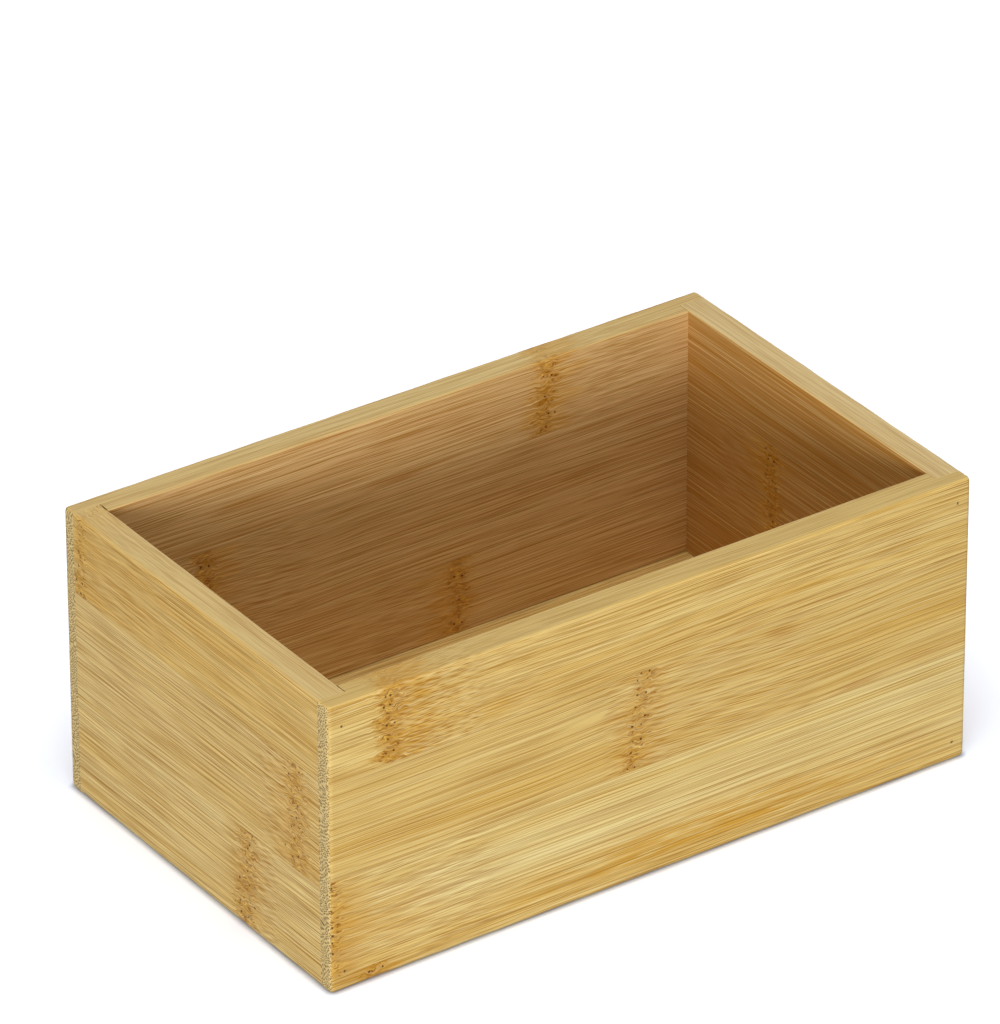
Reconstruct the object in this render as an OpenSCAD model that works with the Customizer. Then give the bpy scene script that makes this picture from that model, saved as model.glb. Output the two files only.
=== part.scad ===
// Open bamboo storage box, in millimetres.
// Four boards, each edge-glued from bamboo strips, stand round a thin floor that sits in a groove.
// The long boards keep a thin lip over the ends of the side boards, and pins hold each corner.
// The origin is the middle of the footprint. +X runs along the box, the front is at -Y, and +Z is up.

/* [Box] */
// Outside length, along the front
box_l = 166; // [120:1:300]
// Outside width, front to back
box_w = 101; // [70:1:200]
// Height from the surface it stands on to the rim
box_h = 70; // [50:1:120]

/* [Boards] */
// Thickness of the four wall boards
board_t = 7; // [6:0.1:12]
// Thickness of the lip that a long board keeps over the side board's end
lip_t = 3.8; // [3:0.1:4.4]
// Radius of the four upright corners
corner_r = 1.1; // [0.3:0.1:2.5]
// Radius of the outer edges along the rim and the underside
edge_r = 0.9; // [0.3:0.1:2]
// Radius of the inner edges along the rim and the underside
inner_edge_r = 0.5; // [0.2:0.1:1.5]

/* [Strips] */
// Height of the top strip of a long board
long_top_strip_h = 18.5; // [12:0.1:24]
// Height of the narrow strip along the underside of a long board
long_bottom_strip_h = 3.7; // [3:0.1:8]
// Number of whole strips between those two, which share the height that is left
long_whole_strip_count = 2; // [1:1:3]
// Height of the top strip of a side board
side_top_strip_h = 19.4; // [12:0.1:24]
// Height of the bottom strip of a side board
side_bottom_strip_h = 24.4; // [14:0.1:26]
// Number of whole strips between those two
side_whole_strip_count = 1; // [1:1:3]
// Number of strips in the floor, all of one width
floor_strip_count = 4; // [3:1:6]

/* [Floor] */
// Thickness of the floor panel
floor_t = 3; // [2:0.1:5]
// Depth of the groove in each board
groove_depth = 2.5; // [1.5:0.1:3]
// Room for the floor to swell, between its edge and the bottom of the groove
groove_edge_gap = 0.25; // [0.1:0.05:0.8]
// Room between the floor's upper face and the groove
groove_top_gap = 0.15; // [0.05:0.05:0.4]

/* [Pins] */
// Diameter of a headless pin
pin_d = 0.7; // [0.5:0.1:1.5]
// Length of a pin, point included
pin_len = 15; // [10:1:25]
// Length of its tapered point
pin_point_len = 1.5; // [0.5:0.1:3]
// Diameter left at the tip of the point
pin_tip_d = 0.2; // [0.1:0.1:0.4]
// Depth of the pin's end below the face of the board
pin_sink = 0.5; // [0.2:0.1:1]
// Distance of the upper pins below the rim
pin_rim_inset = 5.4; // [3:0.1:12]
// Wood between the lower pins and the seam of the narrow strip below them
pin_seam_gap = 0.55; // [0.4:0.05:3]
// Wood between the lower pins and the floor's groove above them
pin_groove_gap = 0.55; // [0.4:0.05:3]

/* [Hidden] */
$fn = 64;

// Cuts run past the faces that they open by this much
overrun = 1;

LONG_COLOUR = "#d3b069";
SIDE_COLOUR = "#c6a465";
FLOOR_COLOUR = "#c99f5d";
PIN_COLOUR = "#4a4038";

inner_l = box_l - 2 * board_t;
inner_w = box_w - 2 * board_t;
side_board_l = box_w - 2 * lip_t;

// A pin goes through the lip into the middle of the side board's thickness
pin_x = box_l / 2 - board_t / 2;
low_pin_z = long_bottom_strip_h + pin_seam_gap + pin_d / 2;
high_pin_z = box_h - pin_rim_inset;

// The floor rests on the lower face of the groove, just above the lower pins
floor_lift = low_pin_z + pin_d / 2 + pin_groove_gap;
groove_h = floor_t + groove_top_gap;
floor_l = inner_l + 2 * (groove_depth - groove_edge_gap);
floor_w = inner_w + 2 * (groove_depth - groove_edge_gap);

floor_strip_w = floor_w / floor_strip_count;

// Distances below the rim at which the strips of a board begin and end
function strip_edges(top, bottom, whole) =
    [0, for (i = [0:whole]) top + i * (box_h - top - bottom) / whole, box_h];

long_edges = strip_edges(long_top_strip_h, long_bottom_strip_h, long_whole_strip_count);
side_edges = strip_edges(side_top_strip_h, side_bottom_strip_h, side_whole_strip_count);
long_count = len(long_edges) - 1;
side_count = len(side_edges) - 1;

// Rectangle with true round corners
module rounded_rectangle(size, r) {
    square([size.x - 2 * r, size.y], center = true);
    square([size.x, size.y - 2 * r], center = true);
    for (x = [-1, 1], y = [-1, 1])
        translate([x * (size.x / 2 - r), y * (size.y / 2 - r)])
            circle(r);
}

// The outside of the glued box once its corners and edges are sanded round
module sanded_outside() {
    intersection() {
        linear_extrude(box_h)
            rounded_rectangle([box_l, box_w], corner_r);
        translate([0, box_w / 2, box_h / 2])
            rotate([90, 0, 0])
                linear_extrude(box_w)
                    rounded_rectangle([box_l, box_h], edge_r);
        translate([-box_l / 2, 0, box_h / 2])
            rotate([90, 0, 90])
                linear_extrude(box_l)
                    rounded_rectangle([box_w, box_h], edge_r);
    }
}

// What eases the corner of an outline at the origin, whose body lies at +X and +Y
module corner_easing(r) {
    difference() {
        translate([-overrun, -overrun])
            square(r + overrun);
        translate([r, r])
            circle(r);
    }
}

// Cuts the inner arrises of a board that runs along Y, with its inner face at x = 0 and its body at -X
module inner_arris_cut(length) {
    rotate([90, 0, 0])
        linear_extrude(length, center = true) {
            mirror([1, 0])
                corner_easing(inner_edge_r);
            translate([0, box_h])
                mirror([1, 0])
                    mirror([0, 1])
                        corner_easing(inner_edge_r);
        }
}

// The groove round the inside of all four boards
module floor_groove() {
    translate([-inner_l / 2 - groove_depth, -inner_w / 2 - groove_depth, floor_lift])
        cube([inner_l + 2 * groove_depth, inner_w + 2 * groove_depth, groove_h]);
}

// A headless pin, driven along +Y from a face at y = 0
module pin() {
    translate([0, pin_sink, 0])
        rotate([-90, 0, 0]) {
            cylinder(d = pin_d, h = pin_len - pin_point_len);
            translate([0, 0, pin_len - pin_point_len])
                cylinder(d1 = pin_d, d2 = pin_tip_d, h = pin_point_len);
        }
}

// The hole that the pin makes, open at the face
module pin_hole() {
    pin();
    translate([0, -overrun, 0])
        rotate([-90, 0, 0])
            cylinder(d = pin_d, h = pin_sink + overrun);
}

// Its children at each place where a pin enters the front
module at_front_pins() {
    for (x = [-pin_x, pin_x], z = [low_pin_z, high_pin_z])
        translate([x, -box_w / 2, z])
            children();
}

module all_pin_holes() {
    at_front_pins()
        pin_hole();
    mirror([0, 1, 0])
        at_front_pins()
            pin_hole();
}

// The front board whole, with the rebates at its ends that leave the lips
module front_board() {
    difference() {
        intersection() {
            sanded_outside();
            translate([-box_l / 2, -box_w / 2, 0])
                cube([box_l, board_t, box_h]);
        }
        for (x = [-1, 1])
            translate([x * (box_l / 2 - board_t / 2 + overrun / 2), -box_w / 2 + lip_t + board_t / 2, box_h / 2])
                cube([board_t + overrun, board_t, box_h + 2 * overrun], center = true);
        translate([0, -inner_w / 2, 0])
            rotate([0, 0, 90])
                inner_arris_cut(inner_l);
        floor_groove();
        all_pin_holes();
    }
}

// The left board whole. Its inner arris is eased to its very ends, which the lips cover.
module left_board() {
    difference() {
        intersection() {
            sanded_outside();
            translate([-box_l / 2, -side_board_l / 2, 0])
                cube([board_t, side_board_l, box_h]);
        }
        translate([-inner_l / 2, 0, 0])
            inner_arris_cut(side_board_l);
        floor_groove();
        all_pin_holes();
    }
}

// The layer between two heights that a strip takes up, measured down from the rim
module layer(top, bottom) {
    translate([-box_l / 2, -box_w / 2, box_h - bottom])
        cube([box_l, box_w, bottom - top]);
}

// Strip i of the front board, 1 at the rim
module front_strip(i) {
    color(LONG_COLOUR)
        intersection() {
            front_board();
            layer(long_edges[i - 1], long_edges[i]);
        }
}

// Strip i of the back board, the front one's mirror image
module back_strip(i) {
    mirror([0, 1, 0])
        front_strip(i);
}

// Strip i of the left board, 1 at the rim
module left_strip(i) {
    color(SIDE_COLOUR)
        intersection() {
            left_board();
            layer(side_edges[i - 1], side_edges[i]);
        }
}

// Strip i of the right board, the left one's mirror image
module right_strip(i) {
    mirror([1, 0, 0])
        left_strip(i);
}

// Strip i of the floor, 1 at the front
module floor_strip(i) {
    color(FLOOR_COLOUR)
        translate([-floor_l / 2, (i - 1) * floor_strip_w - floor_w / 2, floor_lift])
            cube([floor_l, floor_strip_w, floor_t]);
}

// The four pins of the front board
module front_pins() {
    color(PIN_COLOUR)
        at_front_pins()
            pin();
}

// The four pins of the back board
module back_pins() {
    mirror([0, 1, 0])
        front_pins();
}

for (i = [1:long_count]) {
    front_strip(i);
    back_strip(i);
}
for (i = [1:side_count]) {
    left_strip(i);
    right_strip(i);
}
for (i = [1:floor_strip_count])
    floor_strip(i);
front_pins();
back_pins();
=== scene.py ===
"""Looks of an open storage box of edge-glued bamboo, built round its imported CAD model.

The wall strips are lofted along their grain with hand-sanded arrises, and their joinery is cut out of them.
The floor's strips and the headless pins come from Geometry Nodes. Lengths are in millimetres, and meshes are
made in metres, in the frame of the CAD model.
"""

import logging
import math
from collections.abc import Sequence
from dataclasses import dataclass, field, replace
from enum import Enum
from itertools import product

import bmesh
import bpy
import numpy as np
from mathutils import Matrix, Vector


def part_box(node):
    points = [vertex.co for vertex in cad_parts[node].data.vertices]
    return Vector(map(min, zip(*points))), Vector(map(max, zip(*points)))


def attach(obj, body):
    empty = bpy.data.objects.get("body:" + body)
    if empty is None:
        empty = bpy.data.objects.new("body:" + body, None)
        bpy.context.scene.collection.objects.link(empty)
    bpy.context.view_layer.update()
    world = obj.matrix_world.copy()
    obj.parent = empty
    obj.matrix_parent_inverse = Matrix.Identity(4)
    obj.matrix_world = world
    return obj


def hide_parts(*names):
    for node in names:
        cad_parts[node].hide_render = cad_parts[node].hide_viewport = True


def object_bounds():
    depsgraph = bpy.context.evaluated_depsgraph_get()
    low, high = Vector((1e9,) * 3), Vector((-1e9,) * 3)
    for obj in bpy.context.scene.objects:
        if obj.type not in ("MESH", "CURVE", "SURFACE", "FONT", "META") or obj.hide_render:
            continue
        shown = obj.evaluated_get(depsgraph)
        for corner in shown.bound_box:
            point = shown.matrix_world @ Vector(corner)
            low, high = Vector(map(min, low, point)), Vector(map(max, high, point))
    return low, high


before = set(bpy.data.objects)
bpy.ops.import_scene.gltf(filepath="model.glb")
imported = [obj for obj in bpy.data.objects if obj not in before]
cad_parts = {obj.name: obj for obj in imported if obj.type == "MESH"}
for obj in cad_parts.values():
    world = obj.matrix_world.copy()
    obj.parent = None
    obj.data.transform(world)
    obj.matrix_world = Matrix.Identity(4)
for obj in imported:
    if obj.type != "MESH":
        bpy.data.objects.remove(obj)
CAD_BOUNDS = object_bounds()

LOG = logging.getLogger("storage_box")
BODY = "root"
MM = 0.001

# How far a cutter runs past the face that it opens
OVERRUN = 1.0

# How near two heights have to be to count as one, and two points to be welded
CLOSE = 0.01
WELD = 0.0005

Colour = tuple[float, float, float, float]
Point = tuple[float, float, float]


def wood_tone(code: str) -> Colour:
    """Turns a six-digit sRGB code into the linear colour that a shader takes.

    Args:
        code: The tone, such as "#d8ba76".

    Returns:
        Red, green and blue as linear light, and an alpha of 1.
    """
    shares = [int(code[i:i + 2], 16) / 255 for i in (1, 3, 5)]
    linear = [s / 12.92 if s <= 0.04045 else ((s + 0.055) / 1.055) ** 2.4 for s in shares]
    return (linear[0], linear[1], linear[2], 1.0)


def heading(azimuth: float, elevation: float) -> Vector:
    """The way from the box to something that stands round it.

    Args:
        azimuth: Its direction in degrees, 0 in front.
        elevation: Its height above the horizon, in degrees.

    Returns:
        A vector of one unit.
    """
    turn, rise = math.radians(azimuth), math.radians(elevation)
    return Vector((math.sin(turn) * math.cos(rise), -math.cos(turn) * math.cos(rise), math.sin(rise)))


def new_object(name: str, data: bpy.types.ID) -> bpy.types.Object:
    """Puts a new object into the scene.

    Args:
        name: Its name.
        data: Its mesh, lamp or camera.

    Returns:
        The object.
    """
    made = bpy.data.objects.new(name, data)
    bpy.context.scene.collection.objects.link(made)
    return made


class Graph:
    """The nodes of a material, a world or a Geometry Nodes tree."""

    def __init__(self, tree: bpy.types.NodeTree) -> None:
        """Starts with an empty tree."""
        self.tree = tree
        tree.nodes.clear()

    def node(self, kind: str, settings: dict[str, object] | None = None,
             inputs: dict[str | int, object] | None = None) -> bpy.types.Node:
        """Adds a node.

        Args:
            kind: The node's type name.
            settings: Attributes of the node, such as a Math node's operation, which are set first.
            inputs: A value or a link for each input, by the socket's identifier, name or number.

        Returns:
            The new node.
        """
        node = self.tree.nodes.new(kind)
        for name, value in (settings or {}).items():
            setattr(node, name, value)
        for key, value in (inputs or {}).items():
            socket = self.input_of(node, key)
            if isinstance(value, Link):
                self.tree.links.new(value.socket, socket)
            elif isinstance(value, bpy.types.NodeSocket):
                self.tree.links.new(value, socket)
            else:
                socket.default_value = value
        return node

    def out(self, kind: str, settings: dict[str, object] | None = None,
            inputs: dict[str | int, object] | None = None) -> bpy.types.NodeSocket:
        """Adds a node in the same way, and gives its first output."""
        return self.node(kind, settings, inputs).outputs[0]

    @staticmethod
    def input_of(node: bpy.types.Node, key: str | int) -> bpy.types.NodeSocket:
        """Finds an input of a node.

        Args:
            node: The node.
            key: The socket's identifier, name or number.

        Returns:
            The socket.
        """
        if isinstance(key, int):
            return node.inputs[key]
        return next((s for s in node.inputs if s.identifier == key), None) or node.inputs[key]

    def math(self, operation: str, *values: "Number") -> "Value":
        """Adds a Math node, with its inputs in order."""
        return Value(self, self.out("ShaderNodeMath", {"operation": operation}, dict(enumerate(values))))

    def noise(self, where: "Triple", detail: float = 1.0, roughness: float = 0.5) -> "Value":
        """Adds a noise of one swing a unit, from 0 to 1, which doesn't change along Z.

        Args:
            where: The coordinates that it reads, in swings.
            detail: Number of finer octaves.
            roughness: Strength of each octave against the one before it.

        Returns:
            The noise.
        """
        return Value(self, self.out("ShaderNodeTexNoise", {"noise_dimensions": "2D"}, {
            "Vector": where, "Scale": 1.0, "Detail": detail, "Roughness": roughness}))

    def cells(self, where: "Triple", scatter: float) -> tuple["Triple", "Value"]:
        """Adds a pattern of cells of one unit, which doesn't change along Z.

        Args:
            where: The coordinates that it reads, in cells.
            scatter: How irregularly the cells lie, from 0 to 1.

        Returns:
            The way from the nearest cell's middle, and a random number for each cell.
        """
        node = self.node("ShaderNodeTexVoronoi", {"voronoi_dimensions": "2D"}, {
            "Vector": where, "Scale": 1.0, "Randomness": scatter})
        chance = Value(self, self.out("ShaderNodeSeparateXYZ", {}, {0: node.outputs["Color"]}))
        return where.combined("SUBTRACT", node.outputs["Position"]), chance

    def triple(self, x: "Number", y: "Number", z: "Number") -> "Triple":
        """Joins three numbers to coordinates."""
        return Triple(self, self.out("ShaderNodeCombineXYZ", {}, {"X": x, "Y": y, "Z": z}))


class Link:
    """A result in a graph that other nodes can take in."""

    def __init__(self, graph: Graph, socket: bpy.types.NodeSocket) -> None:
        """Wraps an output socket of a graph."""
        self.graph = graph
        self.socket = socket


class Value(Link):
    """A number in a graph, to which Python's operators add Math nodes."""

    def __add__(self, other: "Number") -> "Value":
        """Adds another number."""
        return self.graph.math("ADD", self, other)

    def __radd__(self, other: "Number") -> "Value":
        """Is added to another number."""
        return self.graph.math("ADD", other, self)

    def __sub__(self, other: "Number") -> "Value":
        """Takes another number away."""
        return self.graph.math("SUBTRACT", self, other)

    def __rsub__(self, other: "Number") -> "Value":
        """Is taken away from another number."""
        return self.graph.math("SUBTRACT", other, self)

    def __mul__(self, other: "Number") -> "Value":
        """Multiplies by another number."""
        return self.graph.math("MULTIPLY", self, other)

    def __rmul__(self, other: "Number") -> "Value":
        """Is multiplied by another number."""
        return self.graph.math("MULTIPLY", other, self)

    def __truediv__(self, other: "Number") -> "Value":
        """Divides by another number."""
        return self.graph.math("DIVIDE", self, other)

    def __rtruediv__(self, other: "Number") -> "Value":
        """Divides another number."""
        return self.graph.math("DIVIDE", other, self)

    def __abs__(self) -> "Value":
        """Drops the sign."""
        return self.graph.math("ABSOLUTE", self)

    def larger(self, other: "Number") -> "Value":
        """The larger of two numbers."""
        return self.graph.math("MAXIMUM", self, other)

    def between(self, start: "Number", end: "Number", low: float = 0.0, high: float = 1.0) -> "Value":
        """Runs smoothly from low to high while the number goes from start to end.

        Args:
            start: Where the result leaves low.
            end: Where it reaches high. It may lie below start.
            low: The result before start.
            high: The result past end.

        Returns:
            The eased number.
        """
        return Value(self.graph, self.graph.out("ShaderNodeMapRange", {"interpolation_type": "SMOOTHSTEP"}, {
            "Value": self, "From Min": start, "From Max": end, "To Min": low, "To Max": high}))

    def hump(self, reach: "Number") -> "Value":
        """1 where the number is zero, falling to 0 at the reach on both sides."""
        return abs(self).between(0.0, reach, 1.0, 0.0)


class Triple(Link):
    """Coordinates in a graph, on which operators add Vector Math nodes."""

    def combined(self, operation: str, other: object) -> "Triple":
        """Adds a Vector Math node, with other coordinates or three plain numbers."""
        node = self.graph.out("ShaderNodeVectorMath", {"operation": operation}, {0: self, 1: other})
        return Triple(self.graph, node)

    def __add__(self, other: object) -> "Triple":
        """Adds other coordinates."""
        return self.combined("ADD", other)

    def __radd__(self, other: object) -> "Triple":
        """Is added to other coordinates."""
        return self.combined("ADD", other)

    def __mul__(self, other: object) -> "Triple":
        """Multiplies axis by axis."""
        return self.combined("MULTIPLY", other)

    def __rmul__(self, other: object) -> "Triple":
        """Is multiplied axis by axis."""
        return self.combined("MULTIPLY", other)

    def distance(self, other: Point = (0.0, 0.0, 0.0)) -> Value:
        """The distance to a fixed point, or to the origin."""
        node = self.graph.node("ShaderNodeVectorMath", {"operation": "DISTANCE"}, {0: self, 1: other})
        return Value(self.graph, node.outputs["Value"])

    def parts(self) -> tuple[Value, Value, Value]:
        """The three coordinates apart."""
        node = self.graph.node("ShaderNodeSeparateXYZ", {}, {0: self})
        return tuple(Value(self.graph, s) for s in node.outputs)


class Tone(Link):
    """A colour in a graph, which goes through Mix nodes."""

    @classmethod
    def blended(cls, graph: Graph, first: object, second: object, share: "Number") -> "Tone":
        """Mixes two colours, each a link, a linear colour or an sRGB code.

        Args:
            graph: The graph.
            first: One colour.
            second: The other one.
            share: How much of the second one, from 0 to 1.

        Returns:
            The mixed colour.
        """
        first, second = (wood_tone(c) if isinstance(c, str) else c for c in (first, second))
        node = graph.node("ShaderNodeMix", {"data_type": "RGBA"},
                          {"Factor_Float": share, "A_Color": first, "B_Color": second})
        return cls(graph, node.outputs[2])

    def toward(self, other: object, share: "Number") -> "Tone":
        """Mixes a share of another colour in."""
        return self.blended(self.graph, self, other, share)


Number = Value | float


def most(values: Sequence[Value]) -> Value:
    """The largest of several masks.

    Args:
        values: The masks.

    Returns:
        The largest one at each place.
    """
    result = values[0]
    for value in values[1:]:
        result = result.larger(value)
    return result


def new_material(name: str, plain: Colour) -> tuple[bpy.types.Material, Graph]:
    """Makes an empty material.

    Args:
        name: Its name.
        plain: Its colour where patterns aren't shown.

    Returns:
        The material, and its graph to fill.
    """
    made = bpy.data.materials.new(name)
    made.use_nodes = True
    made.diffuse_color = plain
    return made, Graph(made.node_tree)


class Grain(Enum):
    """How a strip's fibres run, as axes along the grain, across the wide face and through the strip."""

    LONG_WALL = (0, 2, 1)
    SIDE_WALL = (1, 2, 0)
    FLOOR = (0, 1, 2)


class Stain(Enum):
    """The tones that patches of bamboo have, with their colours."""

    PALE = "#ead18c"
    GOLD = "#deaa42"
    ORANGE = "#bd7f35"
    BROWN = "#a8793f"


@dataclass(frozen=True)
class Patch:
    """A soft streak of another tone, at a given place.

    Attributes:
        along: Its middle along the grain.
        across: Its middle across the strip.
        length: Its reach to each end.
        width: Its reach to each side.
        stain: Its tone.
        strength: How much of the tone shows.
    """

    along: float
    across: float
    length: float
    width: float
    stain: Stain
    strength: float = 0.6


@dataclass(frozen=True)
class Knuckle:
    """The joint of the culm where it crosses a strip.

    Attributes:
        along: Where it crosses the middle of the strip, along the grain.
        middle: The middle of the strip, across.
        lean: How far it moves along the grain for each millimetre across.
        core: Reach of the disturbed fibres.
        glow: Reach of the darker tone round it.
        glow_shift: How far the middle of that tone lies from the core.
        strength: How strong its tones are.
        pits: Places of the pits, along and across.
    """

    along: float
    middle: float
    lean: float = 0.0
    core: float = 4.0
    glow: float = 9.0
    glow_shift: float = 3.0
    strength: float = 1.0
    pits: tuple[tuple[float, float], ...] = ()


@dataclass(frozen=True)
class LooseGrain:
    """A stretch where the fibres surface in short dashes, as beside a knuckle.

    Attributes:
        along: Its middle along the grain.
        reach: Its reach to each end.
        dash: Pitch of the dashes along the grain.
        slant: Rise of the fibres across for each millimetre along.
        strength: How strongly the dashes show.
    """

    along: float
    reach: float
    dash: float = 5.0
    slant: float = 0.0
    strength: float = 0.5


@dataclass(frozen=True)
class Swing:
    """A layer of noise in the bamboo.

    Attributes:
        length: Length of a swing along the grain.
        width: Its width across.
        shift: Sets the layer apart from the others.
        detail: Number of finer octaves.
        roughness: Strength of each octave against the one before it.
        size: How much it moves what it is added to, or how strongly it shows.
        runs: True where it is longer in a strip whose lines are long.
    """

    length: float
    width: float
    shift: float
    detail: float = 1.0
    roughness: float = 0.5
    size: float = 1.0
    runs: bool = False


@dataclass(frozen=True)
class Strokes:
    """A layer of thin strokes along the grain, in staggered rows.

    Attributes:
        pitch: Distance between the strokes of a row.
        row: Distance between rows.
        thick: Thickness of a stroke.
        shift: Sets the layer apart from the others.
        scatter: How irregularly the strokes lie, from 0 to 1.
        rare: Share of the strokes that hardly show.
        share: How strongly they show.
        relief: How much they raise or lower the face against other layers.
    """

    pitch: float
    row: float
    thick: float
    shift: float
    scatter: float = 0.6
    rare: float = 0.3
    share: float = 0.6
    relief: float = 0.0


WAVER = Swing(40.0, 3.0, 11.0, 2.0, 0.6, size=5.5)
WANDER = Swing(80.0, 15.0, 3.0, size=1.7)
SWIRL = Swing(2.8, 1.6, 5.0, 1.0, 0.6, size=2.2)
BANDS = Swing(120.0, 4.6, 21.0, runs=True)
CLOUDS = Swing(24.0, 4.5, 31.0, 2.0, 0.6, 0.09, True)
FIBRES = Swing(20.0, 0.21, 41.0, 1.0, 0.6, 0.6, True)
LOOSE_EDGE = Swing(7.0, 2.0, 13.0, size=0.7)
RIDGES = Swing(2.0, 0.42, 91.0, 2.0, 0.6)
GLOW_FRAY = Swing(16.0, 2.2, 111.0, 2.0, 0.65, 2.1)
CORE_FRAY = Swing(4.0, 1.1, 121.0, 2.0, 0.65, 2.1)
PIT_EDGE = Swing(0.9, 0.9, 71.0, size=0.4)
BROKEN = Swing(14.0, 0.9, 0.0, 2.0, 0.6)

BUNDLES = Strokes(52.0, 0.5, 0.21, 51.0, share=0.7, relief=0.7)
GLEAMS = Strokes(44.0, 0.5, 0.21, 81.5)
HAIRLINES = Strokes(90.0, 2.3, 0.26, 61.0, 1.0, 0.65, 0.44, 0.6)
DARK_DASHES = Strokes(1.0, 0.52, 0.24, 101.0, rare=0.2, share=1.0)
PALE_DASHES = Strokes(1.2, 0.52, 0.24, 141.5)

# How far each row of strokes slips against the next, as a share of the pitch
STAGGER = 0.38

# How far a seed and a layer's shift move the pattern, along and across
SEED_STEP = (3.17, 7.31)
SHIFT_STEP = 2.3

# Parts of a face's normal along the grain between which it becomes end grain
END_TURN = (0.55, 0.85)

# Parts of it across the grain between which the face becomes a strip's narrow face
EDGE_TURN = (0.5, 0.9)

# Depths between which a strip's body becomes its face inside the box, which takes a painted shade
INNER_DEPTH = (6.3, 6.9)

# Levels of noise between which each tone sets in
CLOUD_LEVELS = (0.3, 0.7)
FIBRE_LEVELS = (0.46, 0.62)
RIDGE_LEVELS = (0.54, 0.66)
CRACK_LEVELS = (0.46, 0.34)
BROKEN_LEVELS = (0.25, 0.6)
LOOSE_LEVELS = (0.08, 0.5)
RAGGED_LEVELS = (1.05, 0.25)

# Softness of the golden bands' edges, and how far a strip's share of gold moves them
BAND_EASE = 0.32
BAND_MOVE = 0.35

# Distances from its middle at which a pit fades out and is whole
PIT_REACH = (0.36, 0.15)

# Distance at which a glue line fades out
GLUE_REACH = 0.25

# How much farther than a knuckle's core the swirl goes, and than loose grain its slant
SWIRL_REACH = 1.8
SLANT_REACH = 1.5

# The dots of end grain: turn of their rows, number in a millimetre, scatter, and how the rows drift
DOT_TURN = (0.82, 0.57)
DOT_RATE = (1.7, 2.0, 1.0)
DOT_SCATTER = 0.55
DOT_LEVELS = (0.48, 0.2)
DRIFT_RATE = 0.13
DRIFT_SIZE = (5.0, 3.0)

# How strongly the other tones show
RADIAL_SHARE = 0.5
KNUCKLE_SHARE = 0.6
RIDGE_SHARE = 0.75
CRACK_SHARE = 0.95
GLUE_SHARE = 0.3
PIT_SHARE = 0.95

# How far lines give way to a knuckle or to dashes, and on a strip's narrow face
CALM = 0.7
EDGE_CALM = 0.45
KNUCKLE_EDGE_CALM = 0.6

# Relief of fibres and pits, strength of the bump, and height of its unit
FIBRE_RELIEF = 0.5
PIT_RELIEF = 1.2
BUMP_STRENGTH = 0.22
BUMP_HEIGHT = 0.03


@dataclass(frozen=True)
class BambooFinish:
    """Planed and sanded bamboo, whose pattern goes through the whole strip.

    Attributes:
        seed: Where in the endless pattern the strip was cut.
        pale: Tone of the soft tissue.
        golden: Tone of its warmer bands.
        line: Tone of the fibre bundles.
        hairline: Tone of the darkest bundles.
        dash: Tone of the dashes in loose grain.
        gleam: Tone of the palest lines.
        line_strength: How strongly the bundles show.
        run: How long its lines are, as a multiple of the usual length.
        gold_share: How much of the golden tone the strip has, from 0 to 1.
        knuckles: The knuckles that cross it.
        loose: The stretches of loose grain.
        patches: Streaks of other tones.
        knuckle_tan: Tone round a knuckle.
        knuckle_brown: Tone of its core.
        knuckle_ridge: Tone of the crooked ridges in it.
        crack: Tone of the crevices between them.
        pit: Tone of its pits.
        glue: Tone of the wood at a glue line.
        end_soft: Tone of the soft tissue on end grain.
        end_bundle: Tone of the cut bundles there.
        radial: Tone of a strip's narrow face.
        grain: The way that the fibres run.
        face: Where the strip's outer face lies, on the axis through the strip.
        glued: Places across the strip where a glue line runs.
        shear: How much of the depth the coordinate across takes in.
        inner: Deeper tone painted on the face inside the box, as painted shade of the box's inside.
        inner_share: How strongly the inner face takes on that painted shade.
    """

    seed: float = 0.0
    pale: str = "#eed083"
    golden: str = "#e5be66"
    line: str = "#a87212"
    hairline: str = "#9e6612"
    dash: str = "#a86d14"
    gleam: str = "#f5dea0"
    line_strength: float = 1.0
    run: float = 1.0
    gold_share: float = 0.45
    knuckles: tuple[Knuckle, ...] = ()
    loose: tuple[LooseGrain, ...] = ()
    patches: tuple[Patch, ...] = ()

    knuckle_tan: str = "#d89b1e"
    knuckle_brown: str = "#bd7e16"
    knuckle_ridge: str = "#f2c658"
    crack: str = "#8b5207"
    pit: str = "#553006"
    glue: str = "#a0763a"
    end_soft: str = "#e8ce8e"
    end_bundle: str = "#7c5720"
    radial: str = "#dfc48a"
    grain: Grain = Grain.LONG_WALL
    face: float = 0.0
    glued: tuple[float, ...] = ()
    shear: float = 0.8
    inner: str = "#b9782f"
    inner_share: float = 0.12

    def material(self, name: str) -> bpy.types.Material:
        """Makes the material.

        Args:
            name: Its name.

        Returns:
            The material.
        """
        made, graph = new_material(name, wood_tone(self.pale))
        BambooPattern(graph, self).dress()
        return made


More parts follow.
